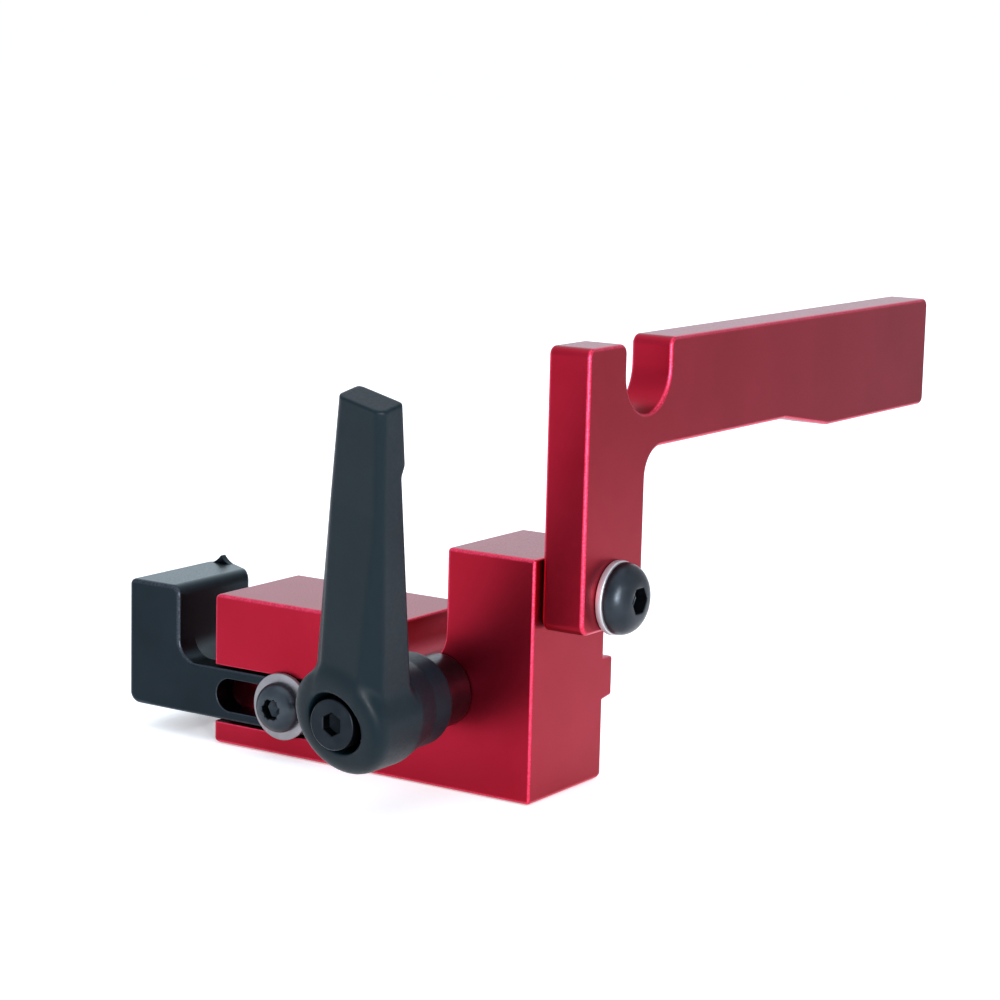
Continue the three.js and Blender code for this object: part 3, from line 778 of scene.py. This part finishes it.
def washer(node, place, radius, thickness, thread, edge, material):
    inner = thread.radius + HOLE_GAP
    profile = []
    for rim, out, grow_r, grow_o in ((radius, 0, -1, 1), (radius, thickness, -1, -1),
                                     (inner, thickness, 1, -1), (inner, 0, 1, 1)):
        arc = [(rim + grow_r * edge * (1 - sine), out + grow_o * edge * (1 - cosine))
               for sine, cosine in quarter_turn(3, 0)]
        profile += arc if (grow_r < 0) == (grow_o > 0) else arc[::-1]
    ring = turned(node + "_visual", profile, place, closed=True)
    finish_piece(ring, node, "block", material, SHARP)


def fastenings():
    low, high = box_mm("hook_washer")
    washer("hook_washer", looking_out_front(*HOOK_SCREW_AXIS, high.y), (high.x - low.x) / 2,
           high.y - low.y, M6, 0.22, DULL_ZINC)
    low, high = box_mm("hook_screw")
    place = looking_out_front(*HOOK_SCREW_AXIS, low.y + M6_HEAD.height)
    button_screw("hook_screw", place, (high.x - low.x) / 2, high.y - low.y, M6_HEAD, M6, PALE_OXIDE)
    low, high = box_mm("pivot_washer")
    washer("pivot_washer", looking_out_right(*PIVOT_AXIS, low.x), (high.y - low.y) / 2,
           high.x - low.x, M8, 0.3, ZINC)
    low, high = box_mm("pivot_screw")
    place = looking_out_right(*PIVOT_AXIS, high.x - M8_HEAD.height)
    button_screw("pivot_screw", place, (high.y - low.y) / 2, high.x - low.x, M8_HEAD, M8, OXIDE)
    low, high = box_mm("pivot_friction_washer")
    washer("pivot_friction_washer", looking_out_right(*PIVOT_AXIS, low.x), (high.y - low.y) / 2,
           high.x - low.x, M8, 0.1, NYLON)


# ---- clamping lever -----------------------------------------------------------------

def smooth_max(first, second, width):
    return np.maximum(first, second) + np.maximum(width - np.abs(first - second), 0) ** 2 / (4 * width)


def smooth_min(first, second, width):
    return -smooth_max(-first, -second, width)


# A field is the distance outside a solid, negative inside it. A place has w across the lever,
# s along its arm, and h out from the block's front face.

def arm_field(w, s, h):
    lever = LEVER
    across = np.abs(w)
    half = lever.root_half + lever.half_slope * s
    near = np.clip(1 - s / lever.chamfer_end, 0, 1)
    front = lever.root_front + lever.front_slope * s + lever.root_rise * near
    pad = np.clip((s - lever.pad_start) / (lever.pad_full - lever.pad_start), 0, 1)
    back = lever.root_back + lever.back_slope * s - lever.pad_depth * pad * pad * (3 - 2 * pad)
    chamfer = lever.tip_chamfer + (lever.root_chamfer - lever.tip_chamfer) * near
    depth = lever.tip_chamfer + (lever.root_chamfer_depth - lever.tip_chamfer) * near
    tip_lean = (lever.tip_back - lever.tip_front) * (front - h) / (front - back)
    field = smooth_max(across - half, (h - front) / math.hypot(1, lever.front_slope), BLEND.front)
    field = smooth_max(field, (back - h) / math.hypot(1, lever.back_slope), BLEND.back)
    bevel = ((across - half + chamfer) * depth + (h - front) * chamfer) / np.hypot(depth, chamfer)
    field = smooth_max(field, bevel, BLEND.bevel)
    rear = (across - half + lever.back_chamfer + back - h) / math.sqrt(2)
    field = smooth_max(field, rear, BLEND.rear)
    field = smooth_max(field, s - lever.tip_front - tip_lean, BLEND.tip)
    return smooth_max(field, -s, BLEND.root)


def hub_field(r, s, h):
    radius = np.interp(h, [HUB.shoulder_rear, HUB.shoulder_front], [HUB.rear_radius, HUB.radius])
    field = smooth_max(r - radius, HUB.rear - h, BLEND.hub_rear)
    nose = (h - HUB.front - HUB.front_slope * s) / math.hypot(1, HUB.front_slope)
    return smooth_max(field, nose, BLEND.nose)


def spline_radius(angle, tip, root):
    share = np.abs((angle / (2 * np.pi) * SPLINE.teeth + 0.5) % 1.0 - 0.5)
    rise = (SPLINE.root_share - share) / (SPLINE.root_share - SPLINE.tip_share)
    return root + (tip - root) * np.clip(rise, 0, 1)


def lever_field(w, s, h):
    r = np.hypot(w, s)
    field = smooth_min(hub_field(r, s, h), arm_field(w, s, h), BLEND.hub_to_arm)
    recess = smooth_max(r - HUB.recess, HUB.web_front - h, BLEND.recess_floor)
    field = smooth_max(field, -recess, BLEND.recess_rim)
    bore = np.maximum(r - HUB.web_bore, np.abs(h - HUB.bore_middle) - HUB.bore_half)
    field = np.maximum(field, -bore)
    tip = SPLINE.tip + SPLINE.clearance
    root = SPLINE.root + SPLINE.clearance
    toothed = np.maximum(r - spline_radius(np.arctan2(s, w), tip, root),
                         np.abs(h - SPLINE.middle) - (HUB.web_rear - SPLINE.middle))
    field = np.maximum(field, -toothed)
    mouth = np.maximum(r - SPLINE.bore, h - SPLINE.cavity_from)
    return smooth_max(field, -mouth, BLEND.mouth)


def gradient(field, points, step=0.02):
    """The field's slope at each point."""
    slopes = []
    for axis in range(3):
        shift = np.zeros(3)
        shift[axis] = step
        ahead = field(*(points + shift).T)
        behind = field(*(points - shift).T)
        slopes.append((ahead - behind) / (2 * step))
    return np.stack(slopes, axis=1)


def settle(field, points, rounds, reach):
    """Moves points onto the zero surface, each by no more than reach in a round."""
    least_slope, least_move = 0.05, 1e-9
    for _ in range(rounds):
        slope = gradient(field, points)
        size = np.maximum((slope ** 2).sum(1), least_slope)
        move = (field(*points.T) / size)[:, None] * slope
        length = np.linalg.norm(move, axis=1, keepdims=True)
        points = points - move * np.minimum(1, reach / np.maximum(length, least_move))
    return points


def surface_net(field, low, high, cell):
    """Quads over the zero surface of a field, evened out and drawn onto it."""
    counts = [int(math.ceil((b - a) / cell)) + 1 for a, b in zip(low, high)]
    axes = [a + cell * np.arange(n) for a, n in zip(low, counts)]
    value = field(*np.meshgrid(*axes, indexing="ij"))
    inside = value < 0
    cells = tuple(n - 1 for n in counts)
    corners = list(itertools.product((0, 1), repeat=3))
    total = np.zeros(cells, dtype=int)
    for corner in corners:
        total += inside[tuple(slice(c, c + n) for c, n in zip(corner, cells))]
    mixed = (total > 0) & (total < len(corners))
    number = np.full(cells, -1)
    number[mixed] = np.arange(mixed.sum())
    base = np.argwhere(mixed)
    sums = np.zeros((len(base), 3))
    hits = np.zeros(len(base))
    for corner in corners:
        for axis in range(3):
            if corner[axis]:
                continue
            other = list(corner)
            other[axis] = 1
            a = value[tuple((base + corner).T)]
            b = value[tuple((base + other).T)]
            crossed = (a < 0) != (b < 0)
            share = np.where(crossed, a / np.where(crossed, a - b, 1), 0)
            place = base + np.array(corner, float)
            place[:, axis] += share
            sums += place * crossed[:, None]
            hits += crossed
    points = np.array(low) + cell * sums / hits[:, None]
    quads = []
    for axis in range(3):
        one, two = (axis + 1) % 3, (axis + 2) % 3
        ahead = [slice(1, n - 1) for n in counts]
        behind = list(ahead)
        ahead[axis] = slice(1, counts[axis])
        behind[axis] = slice(0, counts[axis] - 1)
        first, second = inside[tuple(behind)], inside[tuple(ahead)]
        edges = np.argwhere(first != second)
        leaving = first[tuple(edges.T)]
        edges = edges + np.array([0 if k == axis else 1 for k in range(3)])
        ring = []
        for step_one, step_two in ((0, 0), (1, 0), (1, 1), (0, 1)):
            spot = edges.copy()
            spot[:, one] -= step_one
            spot[:, two] -= step_two
            ring.append(number[tuple(spot.T)])
        ring = np.stack(ring, axis=1)
        ring[~leaving] = ring[~leaving][:, ::-1]
        quads.append(ring)
    quads = np.concatenate(quads)
    points = settle(field, points, SETTLE_ROUNDS, cell / 2)
    for _ in range(EVENING_ROUNDS):
        sums = np.zeros_like(points)
        hits = np.zeros(len(points))
        for k in range(4):
            for neighbour in ((k + 1) % 4, (k - 1) % 4):
                np.add.at(sums, quads[:, k], points[quads[:, neighbour]])
                np.add.at(hits, quads[:, k], 1)
        points = 0.5 * points + 0.5 * sums / hits[:, None]
        points = settle(field, points, RESETTLE_ROUNDS, cell / 2)
    return points, quads


def lever_handle():
    turn = math.radians(LEVER.turn)
    grid = LEVER_GRID
    points, quads = surface_net(lever_field, (-grid.side, -grid.side, grid.rear),
                                (grid.side, grid.tip, grid.front), grid.cell)
    w, s, h = points.T
    placed = np.stack([
        stud_x + w * math.cos(turn) + s * math.sin(turn),
        front_face - h,
        stud_z - w * math.sin(turn) + s * math.cos(turn),
    ], axis=1)
    mesh = bpy.data.meshes.new("lever_handle_visual")
    mesh.from_pydata(placed.tolist(), [], quads.tolist())
    mesh.update()
    body = object_from("lever_handle_visual", mesh)
    bm = bmesh.new()
    bm.from_mesh(mesh)
    bmesh.ops.recalc_face_normals(bm, faces=bm.faces)
    bm.to_mesh(mesh)
    bm.free()
    finish_piece(body, "lever_handle", "handle", COAT, weighted=False)


def gear(name, place):
    tip, root, start, end = SPLINE.tip, SPLINE.root, SPLINE.start, SPLINE.end
    pitch = 2 * math.pi / SPLINE.teeth
    points = []
    for tooth in range(SPLINE.teeth):
        for radius, share in ((root, -SPLINE.root_share), (tip, -SPLINE.tip_share),
                              (tip, SPLINE.tip_share), (root, SPLINE.root_share)):
            angle = (tooth + share) * pitch
            points.append((radius * math.cos(angle), radius * math.sin(angle)))
    bm = bmesh.new()
    inset = INSERT.tooth_edge
    rings = []
    for shrink, out in ((inset, start), (0, start + inset), (0, end - inset), (inset, end)):
        ring = []
        for a, b in points:
            scale = 1 - shrink / math.hypot(a, b)
            ring.append(bm.verts.new(place(a * scale, b * scale, out)))
        rings.append(ring)
    bm.faces.new(rings[0])
    bm.faces.new(rings[-1])
    skin(bm, rings)
    return object_from_bmesh(name, bm)


def lever_insert():
    high = box_mm("lever_insert")[1]
    place = looking_out_front(*STUD_AXIS, front_face)
    gap = front_face - high.y
    radius, length, edge = COLLAR.radius, COLLAR.length, COLLAR.edge
    neck, fillet = SPLINE.root - COLLAR.neck_step, COLLAR.neck_fillet
    stud_bore, screw_bore = M6.radius + HOLE_GAP, M5.radius + HOLE_GAP
    neck_end = SPLINE.start + INSERT.overlap
    profile = [(stud_bore, gap), (radius - edge, gap)]
    for sine, cosine in quarter_turn(COLLAR.steps):
        profile.append((radius - edge + edge * sine, gap + edge - edge * cosine))
    for sine, cosine in quarter_turn(COLLAR.steps, 0):
        profile.append((radius - edge + edge * cosine, length - edge + edge * sine))
    profile += [(neck + fillet, length), (neck, length + fillet), (neck, neck_end),
                (stud_bore, neck_end)]
    body = turned("lever_insert_visual", profile, place, closed=True)
    start, end = SPLINE.start - INSERT.overlap, SPLINE.end + INSERT.overlap
    bore = turned("bore", [(0, start), (screw_bore, start), (screw_bore, end), (0, end)], place,
                  sides=HOLE_SIDES)
    join(body, cut(gear("teeth", place), bore))
    finish_piece(body, "lever_insert", "spindle", OXIDE, SHARP)


def lever_screw():
    low, high = box_mm("lever_screw")
    front = front_face - low.y
    place = looking_out_front(*STUD_AXIS, front_face)
    head = CAP_HEAD
    radius, edge, under_edge = head.radius, head.edge, head.under_edge
    under = front - head.height
    profile = [(0, under), (radius - under_edge, under), (radius, under + under_edge),
               (radius, front - edge)]
    for sine, cosine in quarter_turn(head.steps):
        profile.append((radius - edge + edge * cosine, front - edge + edge * sine))
    profile.append((0, front))
    body = turned("lever_screw_visual", profile, place)
    across = head.socket / math.sqrt(3)
    floor = front - head.socket_depth
    levels = [(across, floor), (across, front - head.bevel_from),
              (across + head.bevel, front + head.bevel_past)]
    cut(body, socket_cutter(place, levels, floor - head.point, math.radians(30)))
    join(body, threaded("shaft", M5, front_face - high.y, under + OVERLAP, place, head.thread_point))
    finish_piece(body, "lever_screw", "spindle", DARK_OXIDE, SHARP)


def lever_spring():
    low, high = box_mm("lever_spring")
    wire, closed_turns, free_turns = SPRING.wire, SPRING.closed_turns, SPRING.free_turns
    radius = (high.x - low.x) / 2 - wire
    start, end = front_face - high.y + wire, front_face - low.y - wire
    total = 2 * closed_turns + free_turns
    count = int(total * SPRING.steps_per_turn) + 1
    tight = 2 * wire * SPRING.touch
    free_pitch = (end - start - 2 * closed_turns * tight) / free_turns
    place = looking_out_front(*STUD_AXIS, front_face)
    bm = bmesh.new()
    rings = []
    for k in range(count):
        turns = total * k / (count - 1)
        out = start + tight * min(turns, closed_turns)
        out += free_pitch * min(max(turns - closed_turns, 0), free_turns)
        out += tight * max(turns - closed_turns - free_turns, 0)
        angle = 2 * math.pi * turns
        ring = []
        for a, b in circle(wire, SPRING.sides):
            ring.append(bm.verts.new(place(
                (radius + a) * math.cos(angle), (radius + a) * math.sin(angle), out + b)))
        rings.append(ring)
    skin(bm, rings)
    bm.faces.new(rings[0])
    bm.faces.new(rings[-1])
    body = object_from_bmesh("lever_spring_visual", bm)
    finish_piece(body, "lever_spring", "spindle", SPRING_WIRE, SHARP)
    joint = [j for j in frame["joints"] if j["name"] == "lever_lift"][0]
    travel = max(joint["range_m"])
    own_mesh(body)


def clamp_stud():
    low, high = box_mm("clamp_stud")
    place = looking_out_front(*STUD_AXIS, front_face)
    inner, outer = front_face - high.y, front_face - low.y
    body = threaded("clamp_stud_visual", M6, inner, outer, place)
    finish_piece(body, "clamp_stud", "spindle", ZINC, math.radians(50))


def t_nut():
    low, high = box_mm("t_nut")
    centre_z = (low.z + high.z) / 2
    half = (high.z - low.z) / 2
    neck, shoulder, chamfer = T_NUT.neck, low.y + T_NUT.shoulder, T_NUT.back_chamfer
    section = [
        (low.y, centre_z - neck), (low.y, centre_z + neck), (shoulder, centre_z + neck),
        (shoulder, centre_z + half), (high.y - chamfer, centre_z + half),
        (high.y, centre_z + half - chamfer), (high.y, centre_z - half + chamfer),
        (high.y - chamfer, centre_z - half), (shoulder, centre_z - half),
        (shoulder, centre_z - neck),
    ]
    body = prism("t_nut_visual", section, "X", low.x, high.x)
    cut(body, hole("nut_hole", M6, STUD_AXIS, "Y", low.y - PAST, high.y + PAST))
    round_edges(body, lambda middle, direction: T_NUT.edge, 3, splits=[("X", stud_x), ("Z", stud_z)])
    finish_piece(body, "t_nut", "nut", ZINC)


main_block()
flip_arm()
stop_hook()
fastenings()
lever_handle()
lever_insert()
lever_screw()
lever_spring()
clamp_stud()
t_nut()


# ---- floor, light and camera --------------------------------------------------------

def sheet(name, corners, material, dark, pale, glow):
    """A flat matt sheet of the studio, in metres."""
    mesh = bpy.data.meshes.new(name)
    mesh.from_pydata(corners, [], [(0, 1, 2, 3)])
    obj = object_from(name, mesh)
    nodes = Nodes(material)
    grain = nodes.noise(9.0, 2.0)
    colour = nodes.mix(grain, dark, pale)
    rough = nodes.ramp(grain, 0.3, 0.7, 0.85, 0.9)
    mesh.materials.append(nodes.shader(0.0, colour, rough, None, 0.1, glow))
    return obj


def floor():
    half, drop = 6.0, 0.0002
    corners = [(-half, -half, -drop), (half, -half, -drop), (half, half, -drop),
               (-half, half, -drop)]
    sheet("floor", corners, "pale_floor", (0.94, 0.94, 0.94), (0.96, 0.96, 0.96), 0.28)


def softbox(name, azimuth, elevation, distance, size, power, target):
    """A rectangular light that faces target, from a bearing seen from the object's front."""
    light = bpy.data.lights.new(name, "AREA")
    light.shape = "RECTANGLE"
    light.size, light.size_y = size
    light.energy = power
    obj = bpy.data.objects.new(name, light)
    bpy.context.scene.collection.objects.link(obj)
    az, el = math.radians(azimuth), math.radians(elevation)
    away = Vector((math.sin(az) * math.cos(el), -math.cos(az) * math.cos(el), math.sin(el)))
    obj.location = Vector(target) + away * distance
    obj.rotation_euler = away.to_track_quat("Z", "Y").to_euler()
    obj.visible_camera = False


def shade_card():
    """A grey card behind and to the right, out of view, for the right faces to reflect."""
    low, high = Vector((0.05, 0.36, -0.0001)), Vector((0.75, 0.03, 0.8))
    corners = [(low.x, low.y, low.z), (high.x, high.y, low.z), (high.x, high.y, high.z),
               (low.x, low.y, high.z)]
    card = sheet("shade_card", corners, "grey_card", (0.42, 0.42, 0.43), (0.45, 0.45, 0.46), 0.0)
    card.visible_camera = False


def world():
    scene_world = bpy.data.worlds.new("studio")
    bpy.context.scene.world = scene_world
    scene_world.use_nodes = True
    background = scene_world.node_tree.nodes["Background"]
    background.inputs["Color"].default_value = (1.0, 1.10, 1.24, 1.0)
    background.inputs["Strength"].default_value = 1.0


CAMERA = Sizes(azimuth=33.117, elevation=9.532, roll=1.428, lens=97.0, sensor=36.0, nearest=0.01,
               place=(0.3156, -0.44927, 0.14774))


def camera():
    azimuth, elevation, roll = map(math.radians, (CAMERA.azimuth, CAMERA.elevation, CAMERA.roll))
    forward = Vector((-math.sin(azimuth) * math.cos(elevation),
                      math.cos(azimuth) * math.cos(elevation), -math.sin(elevation)))
    level = forward.cross(Vector((0, 0, 1))).normalized()
    upright = level.cross(forward)
    right = level * math.cos(roll) + upright * math.sin(roll)
    up = upright * math.cos(roll) - level * math.sin(roll)
    data = bpy.data.cameras.new("camera")
    data.lens = CAMERA.lens
    data.sensor_width = CAMERA.sensor
    data.clip_start = CAMERA.nearest
    obj = bpy.data.objects.new("camera", data)
    bpy.context.scene.collection.objects.link(obj)
    place = Matrix((right, up, -forward)).transposed().to_4x4()
    place.translation = Vector(CAMERA.place)
    obj.matrix_world = place
    bpy.context.scene.camera = obj


floor()
shade_card()
world()
MIDDLE = (0, 0, 0.04)
LEVER_NOSE = (0.0185, -0.05, 0.02)
softbox("key_light", 58, 14, 0.9, (0.22, 0.5), 4.5, MIDDLE)
softbox("back_light", 213, 24, 1.6, (1.5, 1.0), 2.5, MIDDLE)
softbox("overhead_light", 0, 88, 1.2, (1.4, 1.4), 3.4, MIDDLE)
softbox("glint_light", 50, 10, 0.7, (0.07, 0.07), 2.4, LEVER_NOSE)
camera()
bpy.context.scene.view_settings.view_transform = "Standard"
